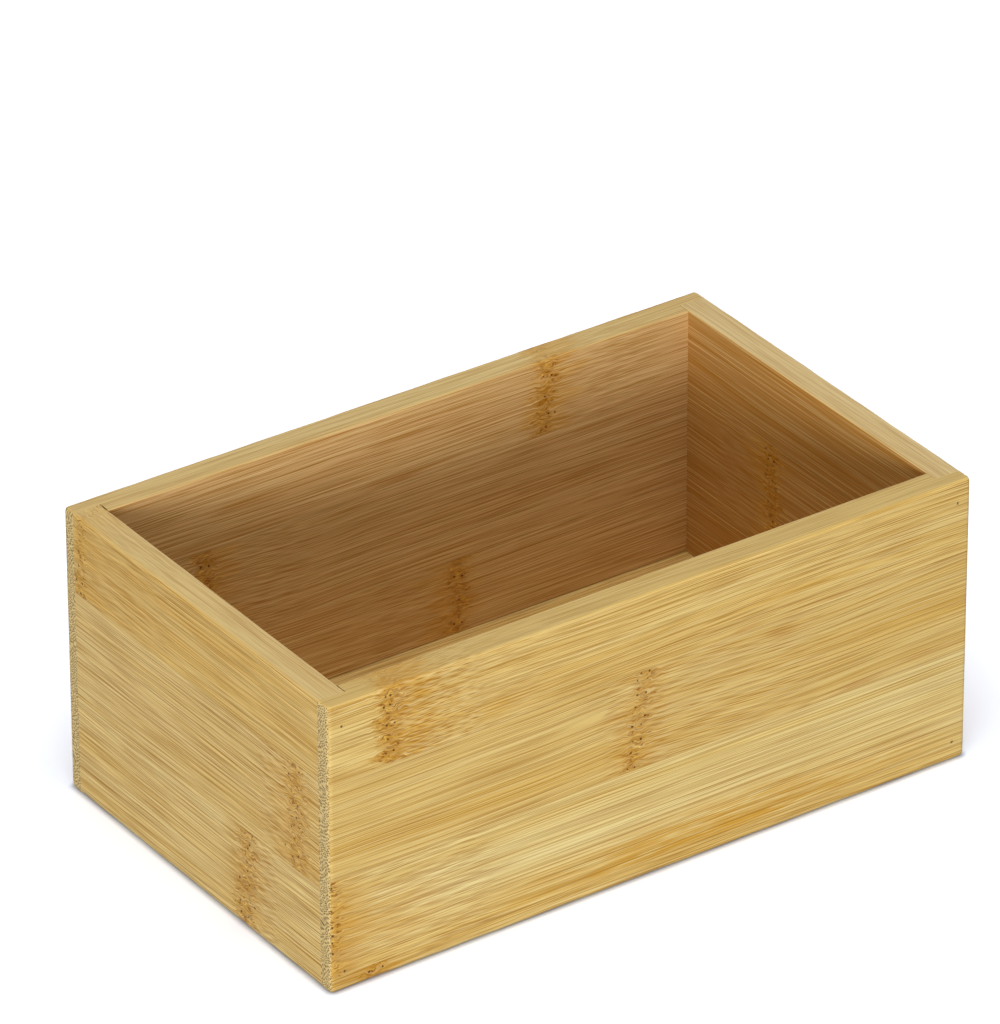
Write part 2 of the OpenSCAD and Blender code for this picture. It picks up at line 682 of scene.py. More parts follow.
class BambooPattern:
    """The layers of a bamboo finish, in millimetres along and across the strip.

    The coordinate across takes in some of the depth, so that lines run on over a rounded arris.
    """

    def __init__(self, graph: Graph, finish: BambooFinish) -> None:
        """Sets out the coordinates.

        Args:
            graph: The empty graph of a material.
            finish: What the strip looks like.
        """
        self.graph = graph
        self.finish = finish
        where = Triple(graph, graph.node("ShaderNodeTexCoord").outputs["Object"])
        axes = (where * (1 / MM, 1 / MM, 1 / MM)).parts()
        normal = Triple(graph, graph.node("ShaderNodeNewGeometry").outputs["True Normal"]).parts()
        self.along, self.height, self.through = (axes[i] for i in finish.grain.value)
        self.across = self.height + (self.through - finish.face) * finish.shear
        self.plain = graph.triple(self.along, self.height, 0.0)
        self.end_face = abs(normal[finish.grain.value[0]]).between(*END_TURN)
        self.edge_face = abs(normal[finish.grain.value[1]]).between(*EDGE_TURN)
        depth = abs(self.through - finish.face)
        # Mask of the face inside the box, on which shade is painted
        self.inner_face = depth.between(*INNER_DEPTH) * (1 - self.edge_face)
        self.knuckle_gaps = [self.knuckle_gap(k) for k in finish.knuckles]
        self.bent_across = self.wandering()

    def at(self, along: Number, across: Number, length: float, width: float, shift: float) -> Triple:
        """Coordinates for a pattern, stretched along the grain.

        Args:
            along: The coordinate along the grain.
            across: The coordinate across it.
            length: Length of a swing or cell.
            width: Its width.
            shift: Sets this layer's pattern apart from the others.

        Returns:
            The coordinates, in swings or cells.
        """
        on, up = (self.finish.seed * step for step in SEED_STEP)
        place = self.graph.triple(along, across, 0.0) * (1 / length, 1 / width, 1.0)
        return place + (on + shift, up - shift * SHIFT_STEP, 0.0)

    def noise(self, layer: Swing, across: Value, number: float = 0.0) -> Value:
        """Adds a layer of noise.

        Args:
            layer: Its sizes.
            across: The coordinate across the grain that it reads.
            number: Sets it apart from others of its kind.

        Returns:
            The noise, from 0 to 1.
        """
        length = layer.length * (self.finish.run if layer.runs else 1.0)
        where = self.at(self.along, across, length, layer.width, layer.shift + number)
        return self.graph.noise(where, layer.detail, layer.roughness)

    def swing(self, layer: Swing, number: float = 0.0) -> Value:
        """A layer of noise that swings by half its size to both sides of zero."""
        return (self.noise(layer, self.across, number) - 0.5) * layer.size

    def knuckle_gap(self, knuckle: Knuckle) -> Value:
        """Distance from the wavering line of a knuckle, along the grain."""
        line = (self.across - knuckle.middle) * knuckle.lean + knuckle.along
        return self.along - line + self.swing(WAVER)

    def wandering(self) -> Value:
        """The coordinate across, with the fibres' slow wander and their swirl at a knuckle.

        Returns:
            The coordinate, in millimetres.
        """
        result = self.across + self.swing(WANDER)
        for stretch in self.finish.loose:
            if stretch.slant:
                gap = self.along - stretch.along
                result = result + gap * gap.hump(stretch.reach * SLANT_REACH) * stretch.slant
        if self.knuckle_gaps:
            pairs = zip(self.knuckle_gaps, self.finish.knuckles)
            near = most([gap.hump(knuckle.core * SWIRL_REACH) for gap, knuckle in pairs])
            result = result + self.swing(SWIRL) * near
        return result

    def bands(self) -> Value:
        """The broad golden bands."""
        middle = 0.5 + (0.5 - self.finish.gold_share) * BAND_MOVE
        return self.noise(BANDS, self.bent_across).between(middle - BAND_EASE, middle + BAND_EASE)

    def strokes(self, layer: Strokes, length: float, number: float = 0.0) -> Value:
        """Adds a layer of strokes.

        Args:
            layer: Its sizes.
            length: What its pitch is multiplied by.
            number: Sets it apart from others of its kind.

        Returns:
            1 in the middle of a stroke, and 0 between them.
        """
        pitch = layer.pitch * length
        slipped = self.along + self.bent_across * (STAGGER * pitch / layer.row)
        where = self.at(slipped, self.bent_across, pitch, layer.row, layer.shift + number)
        way, chance = self.graph.cells(where, layer.scatter)
        along, across, _ = way.parts()
        crisp = across.hump(layer.thick / layer.row).between(0.12, 0.75)
        return crisp * along.hump(0.62) * chance.between(layer.rare - 0.3, layer.rare + 0.3)

    def dashes(self) -> tuple[Value, Value, Value] | None:
        """Adds the dashes of loose grain.

        Returns:
            The dark dashes, the pale ones and how loose the grain is, or None where it's nowhere loose.
        """
        dark, pale, loose = [], [], []
        for i, stretch in enumerate(self.finish.loose):
            near = ((self.along - stretch.along) / stretch.reach).hump(1.0)
            near = near + self.swing(LOOSE_EDGE, i)
            near = near.between(*LOOSE_LEVELS) * stretch.strength
            loose.append(near)
            dark.append(self.strokes(DARK_DASHES, stretch.dash, i) * near)
            pale.append(self.strokes(PALE_DASHES, stretch.dash, i) * near)
        return (most(dark), most(pale), most(loose)) if dark else None

    def ragged(self, gap: Value, reach: float, fray: Swing, number: int) -> Value:
        """A knuckle's tone, which frays out along the grain.

        Args:
            gap: Distance from the tone's middle.
            reach: Its mean reach.
            fray: Sizes of its frays.
            number: The knuckle's number.

        Returns:
            1 in the middle, and 0 outside.
        """
        return (abs(gap) / reach + self.swing(fray, number)).between(*RAGGED_LEVELS)

    def pits(self) -> Value | None:
        """The pits along the knuckles.

        Returns:
            1 in a pit and 0 outside, or None for a strip without pits.
        """
        spots = [pit for knuckle in self.finish.knuckles for pit in knuckle.pits]
        if not spots:
            return None
        near = self.plain.distance((*spots[0], 0.0))
        for spot in spots[1:]:
            near = self.graph.math("MINIMUM", near, self.plain.distance((*spot, 0.0)))
        return (near + self.swing(PIT_EDGE)).between(*PIT_REACH)

    def patch(self, patch: Patch) -> Value:
        """How strongly a streak shows.

        Args:
            patch: The streak.

        Returns:
            Its share, from 0 to its strength.
        """
        gap = self.graph.triple((self.along - patch.along) / patch.length,
                                (self.bent_across - patch.across) / patch.width, 0.0)
        near = gap.distance().between(1.0, 0.0)
        broken = self.noise(BROKEN, self.bent_across, patch.along)
        return near * broken.between(*BROKEN_LEVELS) * patch.strength

    def end_dots(self) -> Value:
        """The cut bundles on end grain, in slanting rows.

        Returns:
            1 in the middle of a dot, and 0 between them.
        """
        graph, height, through = self.graph, self.height, self.through
        drift = graph.noise(graph.triple(height * DRIFT_RATE, through * DRIFT_RATE, 0.0))
        turn, lean = DOT_TURN
        turned = graph.triple(height * turn + through * lean + drift * DRIFT_SIZE[0],
                              through * turn - height * lean + drift * DRIFT_SIZE[1], 0.0)
        way, chance = graph.cells(turned * DOT_RATE, DOT_SCATTER)
        return way.distance().between(*DOT_LEVELS) * chance.between(-0.6, 0.6)

    def dress(self) -> None:
        """Joins the layers to the shader."""
        finish, graph = self.finish, self.graph
        fibres, ends = self.noise(FIBRES, self.bent_across), self.end_dots()
        clouds = self.noise(CLOUDS, self.across).between(*CLOUD_LEVELS)
        bundles, gleams, hairlines = (self.strokes(s, finish.run) for s in (BUNDLES, GLEAMS, HAIRLINES))
        lined = (1 - self.edge_face * EDGE_CALM) * finish.line_strength
        dashes = self.dashes()
        steady = (1 - dashes[2] * CALM) * lined if dashes else lined
        colour = Tone.blended(graph, finish.pale, finish.golden, self.bands())
        colour = colour.toward(finish.line, clouds * CLOUDS.size)
        colour = colour.toward(finish.radial, self.edge_face * RADIAL_SHARE)
        # Painted shade: the face inside the box takes a deeper tone that stands in for the shade inside it
        colour = colour.toward(finish.inner, self.inner_face * finish.inner_share)
        for patch in finish.patches:
            colour = colour.toward(patch.stain.value, self.patch(patch))
        ridges = self.noise(RIDGES, self.bent_across) if self.knuckle_gaps else None
        for i, (gap, knuckle) in enumerate(zip(self.knuckle_gaps, finish.knuckles)):
            glow = self.ragged(gap - knuckle.glow_shift, knuckle.glow, GLOW_FRAY, i)
            core = self.ragged(gap, knuckle.core, CORE_FRAY, i) * (1 - self.edge_face * KNUCKLE_EDGE_CALM)
            steady = steady * (1 - core * CALM)
            colour = colour.toward(finish.knuckle_tan, glow * KNUCKLE_SHARE * knuckle.strength)
            colour = colour.toward(finish.knuckle_brown, core * KNUCKLE_SHARE * knuckle.strength)
            colour = colour.toward(finish.knuckle_ridge, core * ridges.between(*RIDGE_LEVELS) * RIDGE_SHARE)
            colour = colour.toward(finish.crack, core * ridges.between(*CRACK_LEVELS) * CRACK_SHARE)
        colour = colour.toward(finish.line, fibres.between(*FIBRE_LEVELS) * lined * FIBRES.size)
        colour = colour.toward(finish.gleam, gleams * steady * GLEAMS.share)
        colour = colour.toward(finish.line, bundles * steady * BUNDLES.share)
        if dashes:
            colour = colour.toward(finish.dash, dashes[0] * lined * DARK_DASHES.share)
            colour = colour.toward(finish.gleam, dashes[1] * lined * PALE_DASHES.share)
        colour = colour.toward(finish.hairline, hairlines * steady * HAIRLINES.share)
        height = fibres * FIBRE_RELIEF + bundles * BUNDLES.relief + hairlines * HAIRLINES.relief
        if finish.glued:
            glue = most([(self.height - place).hump(GLUE_REACH) for place in finish.glued])
            colour = colour.toward(finish.glue, glue * GLUE_SHARE)
        pits = self.pits()
        if pits:
            colour = colour.toward(finish.pit, pits * PIT_SHARE)
            height = height + pits * PIT_RELIEF
        end = Tone.blended(graph, finish.end_soft, finish.end_bundle, ends)
        colour = colour.toward(end, self.end_face)
        height = height + ends * self.end_face
        bump = graph.out("ShaderNodeBump", {"invert": True}, {
            "Strength": BUMP_STRENGTH, "Distance": BUMP_HEIGHT * MM, "Height": height})
        shader = graph.out("ShaderNodeBsdfPrincipled", {}, {
            "Base Color": colour, "Roughness": 0.5 + fibres * 0.18, "Specular IOR Level": 0.2,
            "Normal": bump})
        graph.node("ShaderNodeOutputMaterial", {}, {"Surface": shader})


@dataclass(frozen=True)
class PinSteel:
    """Dull, darkened steel wire.

    Attributes:
        bright: Tone where the wire was cut.
        dark: Tone where it has darkened.
        specks: Number of specks in a metre along each axis.
    """

    bright: str = "#6a5a48"
    dark: str = "#35291d"
    specks: Point = (4000.0, 900.0, 4000.0)

    def material(self, name: str) -> bpy.types.Material:
        """Makes the material.

        Args:
            name: Its name.

        Returns:
            The material.
        """
        made, graph = new_material(name, wood_tone(self.dark))
        where = Triple(graph, graph.node("ShaderNodeTexCoord").outputs["Object"])
        specks = graph.noise(where * self.specks, 3.0, 0.6)
        colour = Tone.blended(graph, self.dark, self.bright, specks.between(0.4, 0.7))
        bump = graph.out("ShaderNodeBump", {}, {"Strength": 0.3, "Distance": 0.01 * MM, "Height": specks})
        shader = graph.out("ShaderNodeBsdfPrincipled", {}, {
            "Base Color": colour, "Metallic": 0.85, "Roughness": 0.45 + specks * 0.25, "Normal": bump})
        graph.node("ShaderNodeOutputMaterial", {}, {"Surface": shader})
        return made


class Wobble:
    """A slow, smooth unevenness along a length, the same each time for a seed."""

    def __init__(self, seed: int, swing: float = 23.0) -> None:
        """Draws the waves.

        Args:
            seed: Picks the waves.
            swing: Length of the longest wave.
        """
        draw = np.random.default_rng(seed)
        self.lengths = swing / np.array([1.0, 1.9, 3.3, 5.6])
        self.phases = draw.uniform(0.0, 2 * math.pi, 4)
        self.sizes = np.array([0.45, 0.28, 0.17, 0.10])

    def __call__(self, place: float) -> float:
        """The unevenness at a place, from -1 to 1."""
        return float((self.sizes * np.sin(2 * math.pi * place / self.lengths + self.phases)).sum())


class Wall(Enum):
    """A wall of the box: the axis that its boards run along, and the side that it stands on."""

    FRONT = (0, -1.0)
    BACK = (0, 1.0)
    LEFT = (1, -1.0)
    RIGHT = (1, 1.0)

    @property
    def word(self) -> str:
        """The wall's name in piece and node names."""
        return self.name.lower()


@dataclass(frozen=True)
class Box:
    """The sizes that all boards share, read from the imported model.

    Attributes:
        half: Half the length, half the width, and the height.
        board: Thickness of the boards.
        lip: Thickness of the lip over the side boards' ends.
    """

    half: Point
    board: float
    lip: float

    @classmethod
    def measured(cls) -> "Box":
        """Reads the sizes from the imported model.

        Returns:
            The sizes, in millimetres.
        """
        low, high = (corner / MM for corner in CAD_BOUNDS)
        side_low, side_high = (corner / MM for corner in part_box("left_strip_1"))
        return cls((high.x, high.y, high.z), side_high.x - side_low.x, high.y - side_high.y)


@dataclass(frozen=True)
class Arris:
    """One long edge of a strip.

    Attributes:
        radius: Its mean rounding.
        steps: Number of facets.
        open_edge: True where it lies on the rim or the underside, and False at a glue line.
    """

    radius: float
    steps: int
    open_edge: bool


@dataclass
class WallStrip:
    """One strip of a wall board, lofted along its grain.

    Attributes:
        wall: The wall that it belongs to.
        number: Its place in the board, 1 at the rim.
        box: The sizes of the box.
        corner_r: Rounding of the box's upright corners.
        edge_r: Rounding of the outer edges at the rim.
        base_edge_r: Rounding of the outer edges on the underside.
        inner_edge_r: Rounding of the inner edges.
        seam: Easing of a glue line.
        unevenness: How much hand sanding varies a rounding.
        pitch: Distance between the loft's stations.
        support: Distance of the extra loops beside each edge.
        end_gap: Distance of the last even station from the end, or from where the corner's rounding begins.
        corner_steps: Number of stations round an upright corner.
        outer_facets: Number of facets of an outer edge.
        inner_facets: Number of facets of an inner edge.
    """

    wall: Wall
    number: int
    box: Box
    corner_r: float = 1.1
    edge_r: float = 0.9
    base_edge_r: float = 1.2
    inner_edge_r: float = 0.5
    seam: float = 0.07
    unevenness: float = 0.13
    pitch: float = 2.0
    support: float = 0.22
    end_gap: float = 0.3
    corner_steps: int = 9
    outer_facets: int = 7
    inner_facets: int = 5

    @property
    def node(self) -> str:
        """The CAD node that the strip stands for."""
        return f"{self.wall.word}_strip_{self.number}"

    @property
    def reach(self) -> float:
        """Half the strip's length."""
        axis = self.wall.value[0]
        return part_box(self.node)[1][axis] / MM

    @property
    def heights(self) -> tuple[float, float]:
        """The strip's lower and upper height."""
        low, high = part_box(self.node)
        return low.z / MM, high.z / MM

    def arrises(self) -> list[Arris]:
        """The four long edges: outer low, outer high, inner high and inner low.

        Returns:
            The edges in that order.
        """
        low, high = self.heights
        at_base, at_rim = low < CLOSE, high > self.box.half[2] - CLOSE
        seam, inner = Arris(self.seam, 1, False), Arris(self.inner_edge_r, self.inner_facets, True)
        return [
            Arris(self.base_edge_r, self.outer_facets, True) if at_base else seam,
            Arris(self.edge_r, self.outer_facets, True) if at_rim else seam,
            inner if at_rim else seam,
            inner if at_base else seam,
        ]

    def stations(self) -> list[float]:
        """Places of the loft's sections, close together where the corners are rounded.

        Returns:
            The places along the grain, from one end to the other.
        """
        reach = self.reach
        if self.wall.value[0]:
            ends = [reach - self.end_gap]
        else:
            flat = reach - self.corner_r
            turns = [math.radians(90 * i / self.corner_steps) for i in range(self.corner_steps)]
            ends = [flat - self.end_gap, *(flat + self.corner_r * math.sin(turn) for turn in turns)]
        count = max(2, round(2 * ends[0] / self.pitch))
        inner = np.linspace(-ends[0], ends[0], count + 1)
        tail = [*ends[1:], reach]
        return [*(-e for e in reversed(tail)), *inner, *tail]

    @staticmethod
    def receding(place: float, reach: float, radius: float) -> float:
        """How far a rounded corner has fallen back at a place.

        Args:
            place: Distance from the middle.
            reach: Distance of the end.
            radius: Radius of the corner.

        Returns:
            The distance from the flat face.
        """
        into = max(0.0, abs(place) - (reach - radius))
        return radius - math.sqrt(max(0.0, radius * radius - into * into))

    def section(self, place: float, wobbles: Sequence[Wobble]) -> list[tuple[float, float]]:
        """The strip's outline at a station.

        Args:
            place: Where the station is, along the grain.
            wobbles: The unevenness of each arris.

        Returns:
            Points as depth from the outer face and height.
        """
        low, high = self.heights
        outer, fall = 0.0, 0.0
        if not self.wall.value[0]:
            outer = self.receding(place, self.reach, self.corner_r)
            fall = self.receding(place, self.reach, self.edge_r)
        arrises = self.arrises()
        low += fall if arrises[0].open_edge else 0.0
        high -= fall if arrises[1].open_edge else 0.0
        corners = [(outer, low, 1, 1, 270), (outer, high, 1, -1, 180),
                   (self.box.board, high, -1, -1, 90), (self.box.board, low, -1, 1, 0)]
        points = []
        for arris, wobble, (depth, height, across, up, start) in zip(arrises, wobbles, corners):
            radius = arris.radius * (1 + self.unevenness * wobble(place))
            middle = (depth + across * radius, height + up * radius)
            angles = [math.radians(start - 90 * i / arris.steps) for i in range(arris.steps + 1)]
            arc = [(middle[0] + radius * math.cos(a), middle[1] + radius * math.sin(a)) for a in angles]
            points += [self.beside(arc[0], angles[0], -1), *arc, self.beside(arc[-1], angles[-1], 1)]
        return points

    def beside(self, point: tuple[float, float], angle: float, way: int) -> tuple[float, float]:
        """A point on the flat face beside the end of an arc, ahead of it (-1) or past it (1)."""
        gap = way * self.support
        return point[0] + gap * math.sin(angle), point[1] - gap * math.cos(angle)

    def placed(self, along: float, depth: float, height: float) -> Vector:
        """Turns a place on the board into a point of the frame, in metres.

        Args:
            along: The place along the grain.
            depth: Its depth below the outer face.
            height: Its height.

        Returns:
            The point.
        """
        axis, side = self.wall.value
        point = [0.0, 0.0, height * MM]
        point[axis] = along * MM
        point[1 - axis] = side * (self.box.half[1 - axis] - depth) * MM
        return Vector(point)

    def loft(self) -> bpy.types.Mesh:
        """Lofts the strip before its joinery is cut.

        Returns:
            The closed mesh.
        """
        seed = sum(map(ord, self.node))
        wobbles = [Wobble(seed + i) for i in range(4)]
        rings = [[self.placed(s, d, h) for d, h in self.section(s, wobbles)] for s in self.stations()]
        body = bmesh.new()
        made = [[body.verts.new(p) for p in ring] for ring in rings]
        for one, two in zip(made, made[1:]):
            for i in range(len(one)):
                j = (i + 1) % len(one)
                body.faces.new((one[i], one[j], two[j], two[i]))
        for ring in (made[0], made[-1]):
            body.faces.new(ring)
        bmesh.ops.recalc_face_normals(body, faces=body.faces[:])
        mesh = bpy.data.meshes.new(self.node + "_loft")
        body.to_mesh(mesh)
        body.free()
        return mesh


def box_cutter(name: str, low: Sequence[float], high: Sequence[float]) -> bpy.types.Object:
    """A block that a boolean takes away.

    Args:
        name: The object's name.
        low: Its lowest corner, in millimetres.
        high: Its highest corner.

    Returns:
        The object, which isn't rendered.
    """
    body = bmesh.new()
    bmesh.ops.create_cube(body, size=1.0)
    low_v, high_v = Vector(low) * MM, Vector(high) * MM
    spread = high_v - low_v
    for vertex in body.verts:
        vertex.co = (low_v + high_v) / 2 + Vector(a * b for a, b in zip(vertex.co, spread))
    return tool(name, body)


def round_cutter(name: str, start: Sequence[float], end: Sequence[float], radius: float) -> bpy.types.Object:
    """A round bit that a boolean takes away.

    Args:
        name: The object's name.
        start: One end of its middle line, in millimetres.
        end: The other end.
        radius: Its radius.

    Returns:
        The object, which isn't rendered.
    """
    body = bmesh.new()
    first, last = Vector(start) * MM, Vector(end) * MM
    axis = last - first
    turn = axis.to_track_quat("Z", "Y").to_matrix().to_4x4()
    bmesh.ops.create_cone(body, cap_ends=True, segments=24, radius1=radius * MM, radius2=radius * MM,
                          depth=axis.length, matrix=Matrix.Translation((first + last) / 2) @ turn)
    return tool(name, body)


def tool(name: str, body: bmesh.types.BMesh) -> bpy.types.Object:
    """Makes a cutter's object from its mesh.

    Args:
        name: The object's name.
        body: The cutter's shape, which is used up.

    Returns:
        The object.
    """
    bmesh.ops.recalc_face_normals(body, faces=body.faces[:])
    mesh = bpy.data.meshes.new(name)
    body.to_mesh(mesh)
    body.free()
    return new_object(name, mesh)


def evaluated_mesh(piece: bpy.types.Object, name: str) -> bpy.types.Mesh:
    """The piece's mesh with its modifiers worked out.

    Args:
        piece: The object with live modifiers.
        name: Name of the new mesh.

    Returns:
        A plain mesh.
    """
    bpy.context.view_layer.update()
    graph = bpy.context.evaluated_depsgraph_get()
    mesh = bpy.data.meshes.new_from_object(piece.evaluated_get(graph), preserve_all_data_layers=True,
                                           depsgraph=graph)
    mesh.name = name
    return mesh


def cut_out(piece: bpy.types.Object, cutters: Sequence[bpy.types.Object]) -> None:
    """Cuts joinery out of a piece, and clears the cutters away.

    Args:
        piece: The object to cut.
        cutters: What is taken away.
    """
    for cutter in cutters:
        step = piece.modifiers.new(cutter.name, "BOOLEAN")
        step.operation = "DIFFERENCE"
        step.solver = "EXACT"
        step.object = cutter
    mesh = evaluated_mesh(piece, piece.name)
    piece.modifiers.clear()
    piece.data = mesh
    for cutter in cutters:
        bpy.data.objects.remove(cutter)


def tidy_mesh(mesh: bpy.types.Mesh, sharp_deg: float = 32.0) -> None:
    """Welds a mesh, turns its faces outwards and shades it.

    Args:
        mesh: The mesh.
        sharp_deg: Edges that turn by more than this stay sharp.
    """
    body = bmesh.new()
    body.from_mesh(mesh)
    bmesh.ops.remove_doubles(body, verts=body.verts[:], dist=WELD * MM)
    bmesh.ops.dissolve_degenerate(body, edges=body.edges[:], dist=WELD * MM)
    bmesh.ops.recalc_face_normals(body, faces=body.faces[:])
    body.to_mesh(mesh)
    body.free()
    mesh.shade_smooth()
    mesh.set_sharp_from_angle(angle=math.radians(sharp_deg))


def hand_over(piece: bpy.types.Object, node: str, slot: str) -> None:
    """Lets a finished piece stand for its CAD node.

    Args:
        piece: The finished piece.
        node: The CAD node.
        slot: The record's material slot. Not used.
    """
    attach(piece, BODY)
    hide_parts(node)
    LOG.info("%s: %d faces, stands for %s", piece.name, len(piece.data.polygons), node)


@dataclass
class WallBoard:
    """A wall board, edge-glued from strips, with its joinery.

    Attributes:
        wall: The wall that it makes.
        box: The sizes of the box.
        finishes: The finish of each strip, from the rim down.
        slot: The record's material slot.
        groove: Depth of the floor's groove.
        groove_top_gap: Room between the floor's upper face and the groove.
        hole_r: Radius of the pin holes.
    """

    wall: Wall
    box: Box
    finishes: Sequence[BambooFinish]
    slot: str
    groove: float = 2.5
    groove_top_gap: float = 0.15
    hole_r: float = 0.36

    def pin_holes(self, strip: WallStrip) -> list[bpy.types.Object]:
        """The bits for the pin holes that pass through a strip.

        Args:
            strip: The strip.

        Returns:
            A round cutter for each hole.
        """
        low, high = strip.heights
        axis, side = self.wall.value
        radius = CornerPins.radius
        cutters = []
        for end, pins in ((-1, "front_pins"), (1, "back_pins")):
            if axis == 0 and side != end:
                continue
            near, far = (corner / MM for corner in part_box(pins))
            inner, outer = far.y if end < 0 else near.y, end * (self.box.half[1] + OVERRUN)
            places, heights = ((near[i] + radius, far[i] - radius) for i in (0, 2))
            for place, height in product(places, heights):
                if low < height < high and (axis == 0 or side * place > 0):
                    cutters.append(round_cutter(f"bit_{len(cutters)}", (place, inner, height),
                                                (place, outer, height), self.hole_r))
        return cutters

    def joinery(self, strip: WallStrip) -> list[bpy.types.Object]:
        """Everything that is cut out of a strip.

        Args:
            strip: The strip.

        Returns:
            Cutters for its pin holes, its groove and the rebates at its ends.
        """
        length, width, height = self.box.half
        inside = (length - self.box.board, width - self.box.board)
        axis, side = self.wall.value
        cutters = self.pin_holes(strip)
        floor_low, floor_high = (corner.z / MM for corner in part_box("floor_strip_1"))
        low, high = strip.heights
        if low < floor_low < high:
            mouth, run = inside[1 - axis], inside[axis] + self.groove
            ends = sorted((side * (mouth - OVERRUN), side * (mouth + self.groove)))
            corners = [[0.0, 0.0, floor_low], [0.0, 0.0, floor_high + self.groove_top_gap]]
            for corner, end, sign in zip(corners, ends, (-1, 1)):
                corner[axis] = sign * run
                corner[1 - axis] = end
            cutters.append(box_cutter("groove_plane", *corners))
        if axis == 0:
            depths = sorted((side * (width - self.box.lip), side * (inside[1] - OVERRUN)))
            for end in (-1, 1):
                spans = sorted((end * inside[0], end * (length + OVERRUN)))
                cutters.append(box_cutter(f"rebate_{end}", (spans[0], depths[0], -OVERRUN),
                                          (spans[1], depths[1], height + OVERRUN)))
        return cutters

    def build(self) -> None:
        """Makes every strip of the board."""
        for i, finish in enumerate(self.finishes):
            strip = WallStrip(self.wall, i + 1, self.box)
            piece = new_object(f"{self.wall.word}_board_strip_{i + 1}", strip.loft())
            cut_out(piece, self.joinery(strip))
            tidy_mesh(piece.data)
            piece.data.materials.append(finish.material(f"bamboo_{strip.node}"))
            hand_over(piece, strip.node, self.slot)


class NodeForm(Graph):
    """A Geometry Nodes tree with named inputs, worked out to a plain mesh."""

    def __init__(self, name: str, sizes: dict[str, float | Point]) -> None:
        """Starts a tree.

        Args:
            name: Name of the tree.
            sizes: The named inputs with their values, in millimetres.
        """
        super().__init__(bpy.data.node_groups.new(name, "GeometryNodeTree"))
        self.tree.interface.new_socket("Geometry", in_out="OUTPUT", socket_type="NodeSocketGeometry")
        self.sizes = {}
        for label, value in sizes.items():
            kind = "NodeSocketVector" if isinstance(value, tuple) else "NodeSocketFloat"
            made = self.tree.interface.new_socket(label, in_out="INPUT", socket_type=kind)
            self.sizes[made.identifier] = Vector(value) * MM if isinstance(value, tuple) else value * MM
        self.entry = self.node("NodeGroupInput")

    def size(self, label: str) -> Value:
        """A named size."""
        return Value(self, self.entry.outputs[label])

    def place(self, label: str) -> Triple:
        """A named point."""
        return Triple(self, self.entry.outputs[label])

    def piece(self, name: str, shape: bpy.types.NodeSocket, material: bpy.types.Material) -> bpy.types.Object:
        """Ends the tree and makes its piece.

        Args:
            name: Name of the piece.
            shape: The geometry that the tree has made.
            material: The piece's material.

        Returns:
            The piece, with a plain mesh.
        """
        whole = self.out("GeometryNodeRealizeInstances", {}, {"Geometry": shape})
        dressed = self.out("GeometryNodeSetMaterial", {}, {"Geometry": whole, "Material": material})
        self.node("NodeGroupOutput", {}, {"Geometry": dressed})
        made = new_object(name, bpy.data.meshes.new(name))
        step = made.modifiers.new(self.tree.name, "NODES")
        step.node_group = self.tree
        for identifier, value in self.sizes.items():
            step[identifier] = value
        mesh = evaluated_mesh(made, name)
        made.modifiers.clear()
        made.data = mesh
        return made


@dataclass
class FloorPanel:
    """The thin floor in the boards' groove, glued from strips.

    Attributes:
        finishes: The finish of each strip, from the front.
        slot: The record's material slot.
        easing: Rounding of the strips' long edges at the glue lines.
        stations: Number of sections along a strip.
    """

    finishes: Sequence[BambooFinish]
    slot: str = "bamboo_floor"
    easing: float = 0.08
    stations: int = 80

    def strip(self, number: int, finish: BambooFinish) -> bpy.types.Object:
        """Makes one strip.

        Args:
            number: Its place, 1 at the front.
            finish: Its finish.

        Returns:
            The strip's object.
        """
        node = f"floor_strip_{number}"
        low, high = (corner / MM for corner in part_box(node))
        form = NodeForm(f"floor_form_{number}", {
            "Length": high.x - low.x, "Width": high.y - low.y, "Thickness": high.z - low.z,
            "Easing": self.easing, "Middle": tuple((low + high) / 2)})
        start, end = (form.triple(form.size("Length") * share, 0.0, 0.0) for share in (-0.5, 0.5))
        line = form.out("GeometryNodeCurvePrimitiveLine", {}, {"Start": start, "End": end})
        run = form.out("GeometryNodeResampleCurve", {}, {"Curve": line, "Count": self.stations})
        upright = form.out("GeometryNodeSetCurveNormal", {"mode": "Z_UP"}, {"Curve": run})
        outline = form.out("GeometryNodeCurvePrimitiveQuadrilateral", {"mode": "RECTANGLE"}, {
            "Width": form.size("Width"), "Height": form.size("Thickness")})
        eased = form.out("GeometryNodeFilletCurve", {"mode": "POLY"}, {
            "Curve": outline, "Count": 2, "Radius": form.size("Easing")})
        swept = form.out("GeometryNodeCurveToMesh", {}, {
            "Curve": upright, "Profile Curve": eased, "Fill Caps": True})
        placed = form.out("GeometryNodeTransform", {}, {
            "Geometry": swept, "Translation": form.place("Middle")})
        piece = form.piece(f"floor_panel_strip_{number}", placed, finish.material(f"bamboo_{node}"))
        tidy_mesh(piece.data)
        return piece

    def build(self) -> None:
        """Makes every strip of the floor."""
        for i, finish in enumerate(self.finishes):
            hand_over(self.strip(i + 1, finish), f"floor_strip_{i + 1}", self.slot)


